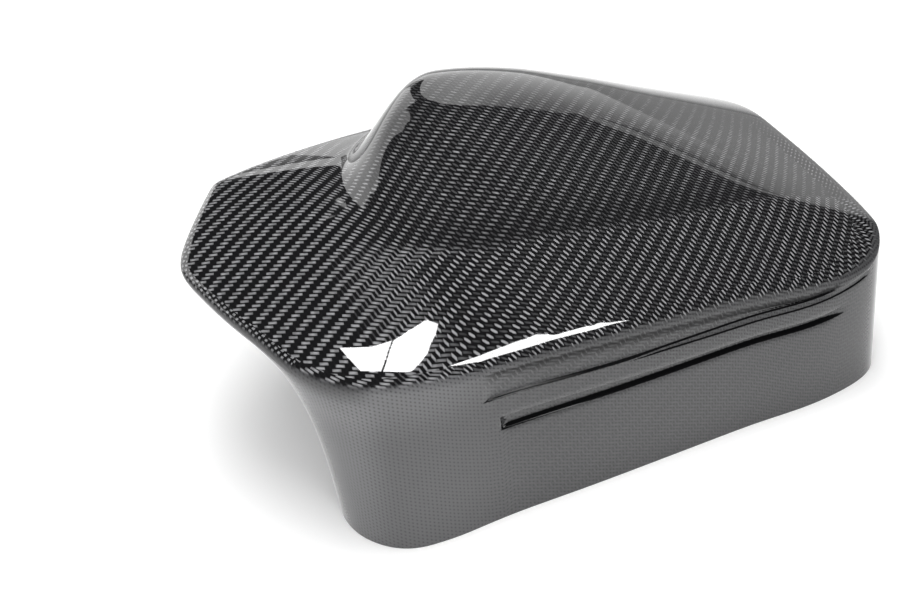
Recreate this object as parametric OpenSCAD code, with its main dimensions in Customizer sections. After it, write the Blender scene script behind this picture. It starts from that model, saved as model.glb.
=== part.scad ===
// Cover for a car's wing mirror: one moulded shell of carbon fibre, open below,
// with an ear that sweeps out past its outboard corner.
// It stands on its rim. X runs along the cover, outboard end first, Y runs away
// from the long wall with the gutters, and Z is up.

/* [Shell] */
// Length from the corner of the near lip to the inboard end
body_l = 240; // [210:1:270]
// Width from the near lip to the far lip
body_w = 168; // [156:1:180]
// Thickness of the laminate
wall = 1.8; // [1.4:0.1:2.2]
// Height of the near lip at its outboard corner
lip_z = 79; // [74:1:84]
// Height of the crest of the bulge
crest_z = 124.5; // [118:0.5:132]
// Height of the far lip at the middle of the bulge
far_z = 68; // [62:1:74]
// How far the near wall leans out between lip and rim
near_lean = 9; // [5:0.5:13]
// Radius of the crease between the sloping shelf and the bulge
crease_r = 3; // [2:0.5:5]

/* [Ear] */
// How far the ear stands out past the corner of the lip
ear_reach = 55; // [46:0.5:62]
// Height of the crown of the ear
ear_z = 97; // [94:0.5:102]
// Where the foot of the bulge meets the ear, from the corner of the lip
foot_x = 23.5; // [18:0.5:28]
// Length over which the bulge climbs out of the ear
climb_l = 42; // [38:1:50]

/* [Edges] */
// Width of the rounding along the near lip
near_edge = 5; // [4:0.5:7]
// Width of the rounding round the ear
ear_edge = 4.5; // [4:0.5:6]
// Width of the rounding on the far side and the inboard end
far_edge = 12; // [8:1:15]

/* [Gutters] */
// Height of the gutter's ledge at its outboard end
gutter_z = 42.6; // [38:0.2:44]
// Height of the gutter between its ledge and its top edge
gutter_h = 6.4; // [5:0.2:7]
// Depth of the gutter
gutter_d = 2.6; // [1.5:0.1:3]
// Where the gutter starts, from the corner of the lip
gutter_x = 42.5; // [38:0.5:50]
// Where the gutter and the step end
gutter_end = 208; // [190:1:215]
// Height of the step above the gutter at its outboard end
step_z = 58.6; // [56:0.2:60]
// Depth of the step
step_d = 1.6; // [1:0.1:2]
// Where the step starts
step_x = 36; // [32:0.5:42]
// Where the step splits in two
split_x = 100; // [90:1:120]

/* [Clips] */
// Width of a snap clip
clip_w = 22; // [16:1:28]
// Height of a snap clip's foot
clip_h = 24; // [18:1:28]
// Thickness of a foot
clip_t = 2.4; // [2:0.1:3]
// Reach of the hook on a snap clip
hook_d = 4; // [3:0.2:5]
// Thickness of the layer of glue behind each foot
bond = 0.4; // [0.3:0.05:0.6]
// Height of a foot above the rim
clip_z = 5; // [4:0.5:8]
// Least distance along the wall from a clip to the bracket beside it
clip_gap = 2; // [1:0.5:6]

/* [Locating pins] */
// Radius of a locating pin
pin_r = 2.5; // [2:0.1:3.5]
// Length of a locating pin below its shelf
pin_l = 12; // [8:0.5:14]
// Distance from the foot to the axis of a locating pin
pin_out = 9; // [7:0.5:12]
// Thickness of the shelf that carries a pin
shelf_t = 3; // [2.5:0.5:4]

/* [Hidden] */

// The curves below are drawn for a body of this size and stretched to the one set above
drawn_l = 240;
drawn_w = 168;
drawn_reach = 55;
// Columns along the cover, rows across it, and rows between the near lip and the crease
columns = 36;
rows = 16;
shelf_rows = 5;
perimeter = 2 * (columns + rows);
// Lengths along the cover over which the gutter's ledge and the step come down, the gutter
// narrows, and the two halves of the step part, and how much each of them does
fall_l = 80;
gutter_fall = 1.1;
step_fall = 3.4;
narrow_l = 110;
gutter_narrowing = 2.4;
split_l = 60;
split_h = 0.9;
split_growth = 1.6;
split_depth_share = 0.45;
// Lengths over which the features run in at their start, out at their end, and the split runs in
start_run = 4.5;
end_run = 10;
split_run = 20;
// Where the bulge starts to sink below the ear's height behind its crest, and over what length
sink_x = 40;
sink_l = 55;
// How far the far wall and the inboard end lean out between lip and rim
far_lean = 3;
end_lean = 3;
// The outline's middle, which goes to the origin
centre_x = (body_l + end_lean - ear_reach) / 2;
centre_y = (body_w + far_lean - 11 / 9 * near_lean) / 2;
laminate = [0.16, 0.16, 0.17];
moulding = [0.08, 0.08, 0.08];

// Heights along the length: [x, height above the named size]
lip_line = [[-50, 4], [-25, 2], [0, 0], [25, -4.2], [60, -7.2], [120, -12], [180, -17], [240, -23]];
shelf_slope = [[-50, 0.1], [-20, 0.17], [20, 0.25], [50, 0.37], [80, 0.58], [120, 0.76], [180, 0.79],
    [235, 0.7]];
crest_line = [[20, -6.5], [60, 0], [85, -1], [120, -9], [150, -20.5], [190, -37.5], [240, -58]];
crest_y = [[20, 126], [85, 127], [150, 122], [240, 108]];
crease_line = [[20, 11], [60, 14], [112, 17], [150, 13.5], [190, 6.5], [240, -12]];
far_line = [[20, -6], [85, 0], [150, -10], [240, -34]];
// Where the crease lies, from the near lip
crease_y = 37;
// How much the bulge's face flattens from the crease to the crest: 1 is straight
face_bow = 1.7;
// How far round a quarter circle the roll from the crest to the far lip goes
far_roll = 0.96;
// The row that follows the crease, from the near side: [x, y]
crease_run = [[-34, 62], [20, 62], [45, 56], [60, 48.5], [85, 42], [110, 37], [240, 37]];
// The middle and the fall of the ear's crown
ear_mid_x = 15;
ear_mid_y = 98;
ear_fall_x = 0.0009;
ear_fall_near = 0.0017;
ear_fall_far = 0.0021;

// Stations round the outline: [place, lip x, lip y, rim x, rim y, edge, bow of the wall].
// The place counts columns on the long sides and is a share of the width on the short ones.
// The bow is 0 on a straight wall and near 1 where the wall sweeps out late, under the ear.
near_side = [
    [0, -36.4, 24.8, -18, 21, ear_edge, 0.35],
    [2, -23.5, 9.8, -15.5, 6, ear_edge, 0.25],
    [3.5, -11.5, 3, -8.5, -4, ear_edge, 0.1],
    [5, 0, 0.2, 0.5, -9.6 / 9 * near_lean, near_edge, 0],
    [7, 14, -0.4, 14.5, -11 / 9 * near_lean, near_edge, 0],
    [11, 36, 0, 36, -10 / 9 * near_lean, near_edge, 0],
    [12, 42.5, 0, 42.5, -9.6 / 9 * near_lean, near_edge, 0],
    [13, 47, 0, 47, -9.4 / 9 * near_lean, near_edge, 0],
    [20, 88, 0, 88, -near_lean, near_edge, 0],
    [28, 160, 0, 160, -7 / 9 * near_lean, near_edge + 1, 0],
    [33, 212, 0, 212, -5.5 / 9 * near_lean, near_edge + 2, 0],
    [34.5, 229, 4, 230, -1, far_edge, 0],
    [36, 237, 14, 239.5, 11, far_edge, 0]];
far_side = [
    [0, -19.5, 145, 46, 142, ear_edge, 0.75],
    [5, 3, 149.5, 57, 152, ear_edge, 0.75],
    [10, 33, 153.5, 70, 159, ear_edge, 0.7],
    [14, 56, 158, 83, 164.5, ear_edge + 2, 0.4],
    [20, 92, 166, 103, 169.5, far_edge, 0.1],
    [28, 160, 168, 162, 171, far_edge, 0],
    [32, 203, 163, 205, 166, far_edge, 0],
    [34, 217, 157, 219.5, 159.5, far_edge, 0],
    [36, 228, 147, 231, 149, far_edge, 0]];
left_side = [
    [0, -36.4, 24.8, -18, 21, ear_edge, 0.35],
    [0.14, -41.5, 42, -12.5, 38, ear_edge, 0.5],
    [0.27, -47.8, 59, -4, 55, ear_edge, 0.6],
    [0.42, -52.8, 79, 6, 74, ear_edge, 0.7],
    [0.52, -55, 92, 12.5, 87, ear_edge, 0.75],
    [0.57, -53.4, 98.5, 15.5, 92, ear_edge, 0.75],
    [0.69, -42, 115, 25, 107, ear_edge, 0.75],
    [0.82, -30, 131, 35, 125, ear_edge, 0.75],
    [1, -19.5, 145, 46, 142, ear_edge, 0.75]];
right_side = [
    [0, 237, 14, 239.5, 11, far_edge, 0],
    [0.25, 240, 45, 243, 45, far_edge, 0],
    [0.6, 240, 100, 243, 100, far_edge, 0],
    [0.85, 236.5, 130, 239.5, 131, far_edge, 0],
    [1, 228, 147, 231, 149, far_edge, 0]];

// A smooth curve through rows that start with their place
function hermite_slope(table, i) =
    i == 0 ? (table[1] - table[0]) / (table[1][0] - table[0][0]) :
    i == len(table) - 1 ? (table[i] - table[i - 1]) / (table[i][0] - table[i - 1][0]) :
    let (before = table[i][0] - table[i - 1][0], after = table[i + 1][0] - table[i][0])
    ((table[i + 1] - table[i]) * before / after + (table[i] - table[i - 1]) * after / before)
        / (before + after);
function piece_at(table, place) =
    max([for (i = [0 : len(table) - 2]) (i == 0 || table[i][0] <= place) ? i : 0]);
function row_at(table, place) =
    let (
        at = min(max(place, table[0][0]), table[len(table) - 1][0]),
        i = piece_at(table, at),
        span = table[i + 1][0] - table[i][0],
        s = (at - table[i][0]) / span
    )
    (2 * s ^ 3 - 3 * s ^ 2 + 1) * table[i] + (s ^ 3 - 2 * s ^ 2 + s) * span * hermite_slope(table, i)
    + (3 * s ^ 2 - 2 * s ^ 3) * table[i + 1] + (s ^ 3 - s ^ 2) * span * hermite_slope(table, i + 1);
function height_at(table, x) = row_at(table, x)[1];

// From the drawn outline to the one with the sizes set above, and back
function real_x(x) =
    x < 0 ? x * ear_reach / drawn_reach :
    x > drawn_l ? body_l + x - drawn_l :
    x * body_l / drawn_l;
function real_y(y) = y < 0 ? y : y > drawn_w ? body_w + y - drawn_w : y * body_w / drawn_w;
function drawn_x(x) = x < 0 ? x * drawn_reach / ear_reach : x * drawn_l / body_l;
function drawn_y(y) = y * drawn_w / body_w;

function clip01(value) = min(max(value, 0), 1);
function ease(value) = let (s = clip01(value)) s * s * (3 - 2 * s);
function smooth_min(a, b, r) = (a + b - sqrt((a - b) ^ 2 + r ^ 2)) / 2;

// The outer skin from above, of the drawn x and y
function lip_height(x) = lip_z + height_at(lip_line, x);
function shelf_height(x, y) = lip_height(x) + height_at(shelf_slope, x) * y;
function ear_height(x, y) = ear_z - (y < ear_mid_y ? ear_fall_near : ear_fall_far) * (y - ear_mid_y) ^ 2
    - ear_fall_x * (x - ear_mid_x) ^ 2;
function near_face(x, y, crest, across) =
    let (foot = lip_z + height_at(crease_line, x))
    crest - (crest - foot) * ((across - y) / (across - crease_y)) ^ face_bow;
function far_face(x, y, crest, across) =
    let (
        foot = far_z + height_at(far_line, x),
        share = far_roll * clip01((y - across) / (drawn_w - across))
    )
    crest - (crest - foot) * (1 - sqrt(1 - share ^ 2)) / (1 - sqrt(1 - far_roll ^ 2));
function bulge_height(x, y) =
    let (crest = crest_z + height_at(crest_line, x), across = height_at(crest_y, x))
    y < across ? near_face(x, y, crest, across) : far_face(x, y, crest, across);
// The foot of the bulge is an arc in plan, with its tip at this place across the ear
foot_y = 100;
foot_half = 52;
foot_back_near = 24;
foot_back_far = 36;
// How much steeper the climb is at the foot than at the crest: 1 is the same
climb_bow = 1.35;
function foot_at(y) =
    foot_x + (y < foot_y ? foot_back_near : foot_back_far) * clip01(abs(y - foot_y) / foot_half) ^ 2;
function climb(x, y) = ease(1 - (1 - clip01((x - foot_at(y)) / climb_l)) ^ climb_bow);
function sink(x, y) = y > height_at(crest_y, x) ? ease((x - sink_x) / sink_l) : 0;
function skin_height(x, y) =
    let (
        ear = ear_height(x, y),
        over = bulge_height(x, y) - ear,
        body = ear + max(over, 0) * climb(x, y) + min(over, 0) * sink(x, y)
    )
    smooth_min(body, shelf_height(x, y), crease_r);
function skin_at(x, y) = [x, y, skin_height(drawn_x(x), drawn_y(y))];

// Rows across the cover: one of them follows the crease
first_column_x = -30;
function row_share(column, row) =
    let (crease = height_at(crease_run, column * drawn_l / columns + first_column_x) / drawn_w)
    row <= shelf_rows ? crease * row / shelf_rows :
    crease + (1 - crease) * (row - shelf_rows) / (rows - shelf_rows);
function station(j) =
    j < columns ? row_at(near_side, j) :
    j < columns + rows ? row_at(right_side, row_share(columns, j - columns)) :
    j < 2 * columns + rows ? row_at(far_side, 2 * columns + rows - j) :
    row_at(left_side, row_share(0, perimeter - j));
stations = [for (j = [0 : perimeter - 1]) let (s = station(j))
    [real_x(s[1]), real_y(s[2]), real_x(s[3]), real_y(s[4]), s[5], s[6]]];
function wrap(j) = (j + perimeter) % perimeter;
lip = [for (s = stations) skin_at(s[0], s[1])];
function unit(v) = v / norm(v);
function inward(j) =
    let (along = unit(lip[wrap(j + 1)] - lip[wrap(j - 1)]))
    unit([-along[1], along[0], 0]);
function inside_lip(j, distance) = let (p = lip[j] + distance * inward(j)) skin_at(p[0], p[1]);

// The wall's heights, as shares of the lip's height: gutter ledge, gutter top, step
function gutter_share(x) =
    (gutter_z - gutter_fall * ease((x - gutter_x) / fall_l)) / lip_height(drawn_x(x));
function gutter_top_share(x) =
    gutter_share(x)
    + (gutter_h - gutter_narrowing * ease((x - gutter_x) / narrow_l)) / lip_height(drawn_x(x));
function step_share(x) = (step_z - step_fall * ease((x - step_x) / fall_l)) / lip_height(drawn_x(x));
function split_share(x) = (split_h + split_growth * ease((x - split_x) / split_l)) / lip_height(drawn_x(x));
ledge = 0.012;
function on_near_wall(j) = j > 0 && j < columns - 2;
function run_in(x, start) = sqrt(clip01((x - start) / start_run)) * sqrt(clip01((gutter_end - x) / end_run));
function gutter_in(j) = on_near_wall(j) ? gutter_d * run_in(lip[j][0], gutter_x) : 0;
function step_in(j) = on_near_wall(j) ? step_d * run_in(lip[j][0], step_x) : 0;
function split_in(j) =
    on_near_wall(j) ? split_depth_share * step_d * ease((lip[j][0] - split_x) / split_run) : 0;

// The ear's edge hangs down over this share of its height before the wall sweeps in, where the
// wall is bowed this much or more
skirt_share = 0.035;
skirt_bow = 0.3;
// Levels of the plain wall between rim and gutter, and how the step's depth fades towards the lip
low_levels = [0.14, 0.3];
under_gutter = 0.04;
step_fade = 0.7;
lip_fade = 0.3;
// A point of the wall at a share of its height, moved in from the plain wall
function wall_point(j, share, depth) =
    let (
        s = stations[j],
        up = min(share / (1 - skirt_share * clip01(s[5] / skirt_bow)), 1),
        sweep = (1 - s[5]) * up + s[5] * up ^ 3,
        plain = [s[2] + (s[0] - s[2]) * sweep, s[3] + (s[1] - s[3]) * sweep, lip[j][2] * share]
    )
    plain + depth * inward(j);
function edge_share(j) = 1 - stations[j][4] / lip[j][2];
// Each level of the wall: its share of the height and how far it stands in from the plain wall.
// The inner skin passes the same steps lower and the gutter's top edge higher, by the laminate.
function wall_levels(j, laminate_share) =
    let (
        x = lip[j][0],
        low = gutter_share(x) - laminate_share,
        high = gutter_top_share(x) + laminate_share,
        step = step_share(x) - laminate_share,
        split = step - split_share(x),
        deep = gutter_in(j),
        above = step_in(j),
        between = split_in(j),
        top = max(edge_share(j), step_share(x) + ledge)
    )
    [[0, 0], [low_levels[0], 0], [low_levels[1], 0], [low - under_gutter, 0], [low, 0],
        [low + ledge, deep], [high - ledge, deep], [high, 0],
        [split - ledge / 2, 0], [split, between], [step - ledge / 2, between], [step, above],
        [top, above * step_fade]];
function edge_rings(j, below, depth) =
    let (corner = lip[j] + depth * inward(j), inside = inside_lip(j, stations[j][4]))
    [(below + 2 * corner + inside) / 4, inside, inside_lip(j, 2 * stations[j][4])];
function outer_rings_at(j) =
    let (wall_part = [for (level = wall_levels(j, 0)) wall_point(j, level[0], level[1])])
    concat(wall_part, edge_rings(j, wall_part[len(wall_part) - 1], step_in(j) * lip_fade));
function plain_rings_at(j) =
    let (wall_part = [for (level = wall_levels(j, wall / lip[j][2])) wall_point(j, level[0], 0)])
    concat(wall_part, edge_rings(j, wall_part[len(wall_part) - 1], 0));
outer_rings = [for (j = [0 : perimeter - 1]) outer_rings_at(j)];
plain_rings = [for (j = [0 : perimeter - 1]) plain_rings_at(j)];
// The last ring lies on the top and only gives the edge its direction
ring_count = len(outer_rings[0]) - 1;
function ring_normal(j, k) =
    let (
        along = plain_rings[wrap(j + 1)][k] - plain_rings[wrap(j - 1)][k],
        up = plain_rings[j][k + 1] - plain_rings[j][max(k - 1, 0)]
    )
    unit(cross(along, up));
function depth_at(j, k) =
    let (levels = wall_levels(j, wall / lip[j][2]))
    k < len(levels) ? levels[k][1] : 0;
function inner_ring_point(j, k) =
    let (n = ring_normal(j, k))
    k == 0 ? plain_rings[j][0] - wall * unit([n[0], n[1], 0]) :
    plain_rings[j][k] - wall * n + depth_at(j, k) * inward(j);

// The top: a patch spun between the four sides of the innermost ring
function edge_point(j) = outer_rings[wrap(j)][ring_count - 1];
function near_edge_point(i) = edge_point(i);
function right_edge_point(r) = edge_point(columns + r);
function far_edge_point(i) = edge_point(2 * columns + rows - i);
function left_edge_point(r) = edge_point(perimeter - r);
function patch_point(i, r) =
    r == 0 ? near_edge_point(i) : r == rows ? far_edge_point(i) :
    i == 0 ? left_edge_point(r) : i == columns ? right_edge_point(r) :
    let (
        u = i / columns,
        v = row_share(i, r),
        across = (1 - v) * near_edge_point(i) + v * far_edge_point(i),
        along = (1 - u) * left_edge_point(r) + u * right_edge_point(r),
        low = (1 - u) * near_edge_point(0) + u * near_edge_point(columns),
        high = (1 - u) * far_edge_point(0) + u * far_edge_point(columns),
        p = across + along - (1 - v) * low - v * high
    )
    skin_at(p[0], p[1]);
patch = [for (i = [0 : columns]) [for (r = [0 : rows]) patch_point(i, r)]];
function patch_normal(i, r) =
    unit(cross(patch[i + 1][r] - patch[i - 1][r], patch[i][r + 1] - patch[i][r - 1]));

// Points in order: the outer rings, the outer patch, then the same for the inner skin
ring_points = perimeter * ring_count;
patch_points = (columns - 1) * (rows - 1);
skin_points = ring_points + patch_points;
outer_points = concat(
    [for (k = [0 : ring_count - 1]) for (j = [0 : perimeter - 1]) outer_rings[j][k]],
    [for (i = [1 : columns - 1]) for (r = [1 : rows - 1]) patch[i][r]]);
inner_points = concat(
    [for (k = [0 : ring_count - 1]) for (j = [0 : perimeter - 1]) inner_ring_point(j, k)],
    [for (i = [1 : columns - 1]) for (r = [1 : rows - 1]) patch[i][r] - wall * patch_normal(i, r)]);
function ring_index(j, k) = k * perimeter + wrap(j);
function patch_index(i, r) =
    r == 0 ? ring_index(i, ring_count - 1) :
    i == columns ? ring_index(columns + r, ring_count - 1) :
    r == rows ? ring_index(2 * columns + rows - i, ring_count - 1) :
    i == 0 ? ring_index(perimeter - r, ring_count - 1) :
    ring_points + (i - 1) * (rows - 1) + r - 1;
function two_triangles(a, b, c, d) = [[a, c, b], [a, d, c]];
function skin_faces() = concat(
    [for (k = [0 : ring_count - 2]) for (j = [0 : perimeter - 1])
        for (t = two_triangles(ring_index(j, k), ring_index(j + 1, k),
            ring_index(j + 1, k + 1), ring_index(j, k + 1)))
            t],
    [for (i = [0 : columns - 1]) for (r = [0 : rows - 1])
        for (t = two_triangles(patch_index(i, r), patch_index(i + 1, r),
            patch_index(i + 1, r + 1), patch_index(i, r + 1)))
            t]);
function turned(face, offset) = [face[2] + offset, face[1] + offset, face[0] + offset];
outer_faces = skin_faces();
inner_faces = [for (f = outer_faces) turned(f, skin_points)];
rim_faces = [for (j = [0 : perimeter - 1])
    for (t = two_triangles(ring_index(j, 0) + skin_points, ring_index(j + 1, 0) + skin_points,
        ring_index(j + 1, 0), ring_index(j, 0)))
        t];

module centred() {
    translate([-centre_x, -centre_y, 0])
        children();
}

module cover_shell() {
    color(laminate)
        centred()
            polyhedron(points = concat(outer_points, inner_points),
                faces = concat(outer_faces, inner_faces, rim_faces), convexity = 6);
}

// A place on the inside of the wall, at a height above the rim
function wall_inside(j, height) =
    let (low = inner_ring_point(j, 0), high = inner_ring_point(j, 3))
    low + (high - low) * height / high[2];

function wall_inward(j) =
    let (along = unit(inner_ring_point(j + 1, 2) - inner_ring_point(j - 1, 2)))
    unit([-along[1], along[0], 0]);

// Puts its children against the inside of the wall: local X along the wall, Y inward, Z up.
// With lean, Z runs up the wall, and otherwise it is upright.
module on_wall(j, height, lean = true) {
    slope = wall_inside(j, 1) - wall_inside(j, 0);
    turn = atan2(wall_inward(j)[1], wall_inward(j)[0]) - 90;
    centred()
        translate(wall_inside(j, height))
            rotate([0, 0, turn])
                rotate([lean ? -atan2(slope * wall_inward(j), slope[2]) : 0, 0, 0])
                    translate([0, bond, 0])
                        children();
}

// A foot glued to the wall, with a springy tongue that ends in a hook
tongue_t = 1.8;
tongue_gap = 4;
hook_h = 5;
hook_lip = 1;
tongue_y = clip_t + tongue_gap;
clip_outline = [[0, 0], [clip_t, 0], [clip_t, clip_h - tongue_gap], [tongue_y, clip_h - tongue_gap],
    [tongue_y, 0], [tongue_y + tongue_t, 0], [tongue_y + hook_d, hook_h - hook_lip],
    [tongue_y + hook_d, hook_h], [tongue_y + tongue_t, hook_h], [tongue_y + tongue_t, clip_h - tongue_t],
    [tongue_y, clip_h], [0, clip_h]];
module snap_clip(j) {
    color(moulding)
        on_wall(j, clip_z)
            translate([-clip_w / 2, 0, 0])
                rotate([90, 0, 90])
                    linear_extrude(clip_w)
                        polygon(clip_outline);
}

// A foot glued to the wall, with a shelf on two webs that carries an upright locating pin
shelf_side = 5.5;
shelf_end = 2;
bracket_w = 2 * (pin_r + shelf_side);
shelf_d = pin_out + pin_r + shelf_end;
web_t = 2;
web_drop = 14;
module locating_bracket(j) {
    color(moulding)
        union() {
            on_wall(j, clip_z)
                translate([-bracket_w / 2, 0, 0])
                    cube([bracket_w, clip_t, clip_h]);
            on_wall(j, clip_z + clip_h - shelf_t, lean = false) {
                translate([-bracket_w / 2, clip_t / 2, 0])
                    cube([bracket_w, shelf_d - clip_t / 2, shelf_t]);
                for (side = [-1, 1])
                    translate([side * (bracket_w - web_t) / 2 - web_t / 2, clip_t / 2, 0])
                        rotate([0, 90, 0])
                            linear_extrude(web_t)
                                polygon([[0, 0], [web_drop, 0], [0, shelf_d - clip_t / 2]]);
                translate([0, pin_out, -pin_l])
                    cylinder(h = pin_l + shelf_t / 2, r = pin_r, $fn = 48);
            }
        }
}

// Columns of the near clips and of the brackets, and the stations they come to round the outline
near_clip_columns = [17, 28];
near_bracket_column = 23;
far_bracket_column = 26;
near_outboard = near_clip_columns[0];
near_middle = near_bracket_column;
near_inboard = near_clip_columns[1];
far_middle = 2 * columns + rows - far_bracket_column;
// The first station to one side of a bracket at which a clip clears it
function beside_bracket(j, side) =
    let (
        needed = (clip_w + bracket_w) / 2 + clip_gap,
        clear = [for (n = [1 : columns / 4])
            if (norm(inner_ring_point(j + n * side, 0) - inner_ring_point(j, 0)) >= needed) n]
    )
    j + clear[0] * side;
far_outboard = beside_bracket(far_middle, 1);
far_inboard = beside_bracket(far_middle, -1);

module near_clip_outboard() { snap_clip(near_outboard); }
module near_clip_inboard() { snap_clip(near_inboard); }
module far_clip_outboard() { snap_clip(far_outboard); }
module far_clip_inboard() { snap_clip(far_inboard); }
module near_locating_bracket() { locating_bracket(near_middle); }
module far_locating_bracket() { locating_bracket(far_middle); }

cover_shell();
near_clip_outboard();
near_clip_inboard();
far_clip_outboard();
far_clip_inboard();
near_locating_bracket();
far_locating_bracket();
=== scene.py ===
"""Looks of the wing mirror cover: carbon fibre laminate under clear coat, with black mouldings inside.

The CAD shell is a coarse mesh, so a fine one drawn by the same curves stands for it.
The clips and brackets stay as they are and get their material here.
"""

import math

import bmesh
import bpy
import numpy as np
from mathutils import Matrix, Vector


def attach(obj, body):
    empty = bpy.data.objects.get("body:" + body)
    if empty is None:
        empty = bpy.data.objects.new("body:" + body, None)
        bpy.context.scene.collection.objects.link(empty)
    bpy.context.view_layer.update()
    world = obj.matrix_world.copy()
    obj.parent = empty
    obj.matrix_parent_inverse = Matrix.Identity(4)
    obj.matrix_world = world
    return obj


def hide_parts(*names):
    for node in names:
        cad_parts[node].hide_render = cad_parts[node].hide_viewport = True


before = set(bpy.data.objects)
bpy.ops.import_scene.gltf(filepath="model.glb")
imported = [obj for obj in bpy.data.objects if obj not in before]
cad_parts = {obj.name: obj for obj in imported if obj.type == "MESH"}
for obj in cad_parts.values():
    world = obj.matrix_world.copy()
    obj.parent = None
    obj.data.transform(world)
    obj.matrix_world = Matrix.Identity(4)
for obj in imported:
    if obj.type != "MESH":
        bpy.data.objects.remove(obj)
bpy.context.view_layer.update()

MM = 0.001

# Sizes of the shell in millimetres, as part.scad has them
BODY_L = 240
BODY_W = 168
WALL = 1.8
LIP_Z = 79
CREST_Z = 124.5
FAR_Z = 68
NEAR_LEAN = 9
CREASE_R = 3
EAR_REACH = 55
EAR_Z = 97
FOOT_X = 23.5
CLIMB_L = 42
NEAR_EDGE = 5
EAR_EDGE = 4.5
FAR_EDGE = 12
GUTTER_Z = 42.6
GUTTER_H = 6.4
GUTTER_D = 2.6
GUTTER_X = 42.5
GUTTER_END = 208
STEP_Z = 58.6
STEP_D = 1.6
STEP_X = 36
FAR_LEAN = 3
END_LEAN = 3
CENTRE_X = (BODY_L + END_LEAN - EAR_REACH) / 2
CENTRE_Y = (BODY_W + FAR_LEAN - 11 / 9 * NEAR_LEAN) / 2

# The drawing's columns and rows, and how many of the mesh go to each of them
COLUMNS = 36
ROWS = 16
SHELF_ROWS = 5
PERIMETER = 2 * (COLUMNS + ROWS)
FINE = 5

# Heights along the length: [x, height above the named size]
LIP_LINE = [[-50, 4], [-25, 2], [0, 0], [25, -4.2], [60, -7.2], [120, -12], [180, -17], [240, -23]]
CREST_LINE = [[20, -6.5], [60, 0], [85, -1], [120, -9], [150, -20.5], [190, -37.5], [240, -58]]
CREASE_LINE = [[20, 11], [60, 14], [112, 17], [150, 13.5], [190, 6.5], [240, -12]]
FAR_LINE = [[20, -6], [85, 0], [150, -10], [240, -34]]
# Slope of the shelf along the length: [x, rise for each millimetre across]
SHELF_SLOPE = [
    [-50, 0.1],
    [-20, 0.17],
    [20, 0.25],
    [50, 0.37],
    [80, 0.58],
    [120, 0.76],
    [180, 0.79],
    [235, 0.7],
]
# Where the crest and the crease run: [x, y]
CREST_Y = [[20, 126], [85, 127], [150, 122], [240, 108]]
CREASE_RUN = [[-34, 62], [20, 62], [45, 56], [60, 48.5], [85, 42], [110, 37], [240, 37]]
CREASE_Y = 37
FACE_BOW = 1.7
FAR_ROLL = 0.96
EAR_MID = (15, 98)
EAR_FALL_X = 0.0009
EAR_FALL_NEAR = 0.0017
EAR_FALL_FAR = 0.0021
FOOT_Y = 100
FOOT_HALF = 52
FOOT_BACK_NEAR = 24
FOOT_BACK_FAR = 36
CLIMB_BOW = 1.35
# Where the drawing's first column stands against the crease's line
CREASE_SHIFT = 30
# A run is a start and a length: here, where the bulge's far side sinks below the ear's
SINK_RUN = (40, 55)

# Stations round the outline: [place, lip x, lip y, rim x, rim y, edge, bow of the wall]
NEAR_SIDE = [
    [0, -36.4, 24.8, -18, 21, EAR_EDGE, 0.35],
    [2, -23.5, 9.8, -15.5, 6, EAR_EDGE, 0.25],
    [3.5, -11.5, 3, -8.5, -4, EAR_EDGE, 0.1],
    [5, 0, 0.2, 0.5, -9.6 / 9 * NEAR_LEAN, NEAR_EDGE, 0],
    [7, 14, -0.4, 14.5, -11 / 9 * NEAR_LEAN, NEAR_EDGE, 0],
    [11, 36, 0, 36, -10 / 9 * NEAR_LEAN, NEAR_EDGE, 0],
    [12, 42.5, 0, 42.5, -9.6 / 9 * NEAR_LEAN, NEAR_EDGE, 0],
    [13, 47, 0, 47, -9.4 / 9 * NEAR_LEAN, NEAR_EDGE, 0],
    [20, 88, 0, 88, -NEAR_LEAN, NEAR_EDGE, 0],
    [28, 160, 0, 160, -7 / 9 * NEAR_LEAN, NEAR_EDGE + 1, 0],
    [33, 212, 0, 212, -5.5 / 9 * NEAR_LEAN, NEAR_EDGE + 2, 0],
    [34.5, 229, 4, 230, -1, FAR_EDGE, 0],
    [36, 237, 14, 239.5, 11, FAR_EDGE, 0],
]
FAR_SIDE = [
    [0, -19.5, 145, 46, 142, EAR_EDGE, 0.75],
    [5, 3, 149.5, 57, 152, EAR_EDGE, 0.75],
    [10, 33, 153.5, 70, 159, EAR_EDGE, 0.7],
    [14, 56, 158, 83, 164.5, EAR_EDGE + 2, 0.4],
    [20, 92, 166, 103, 169.5, FAR_EDGE, 0.1],
    [28, 160, 168, 162, 171, FAR_EDGE, 0],
    [32, 203, 163, 205, 166, FAR_EDGE, 0],
    [34, 217, 157, 219.5, 159.5, FAR_EDGE, 0],
    [36, 228, 147, 231, 149, FAR_EDGE, 0],
]
LEFT_SIDE = [
    [0, -36.4, 24.8, -18, 21, EAR_EDGE, 0.35],
    [0.14, -41.5, 42, -12.5, 38, EAR_EDGE, 0.5],
    [0.27, -47.8, 59, -4, 55, EAR_EDGE, 0.6],
    [0.42, -52.8, 79, 6, 74, EAR_EDGE, 0.7],
    [0.52, -55, 92, 12.5, 87, EAR_EDGE, 0.75],
    [0.57, -53.4, 98.5, 15.5, 92, EAR_EDGE, 0.75],
    [0.69, -42, 115, 25, 107, EAR_EDGE, 0.75],
    [0.82, -30, 131, 35, 125, EAR_EDGE, 0.75],
    [1, -19.5, 145, 46, 142, EAR_EDGE, 0.75],
]
RIGHT_SIDE = [
    [0, 237, 14, 239.5, 11, FAR_EDGE, 0],
    [0.25, 240, 45, 243, 45, FAR_EDGE, 0],
    [0.6, 240, 100, 243, 100, FAR_EDGE, 0],
    [0.85, 236.5, 130, 239.5, 131, FAR_EDGE, 0],
    [1, 228, 147, 231, 149, FAR_EDGE, 0],
]
SKIRT_SHARE = 0.035
FULL_BOW = 0.3
LEDGE = 0.012
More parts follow.
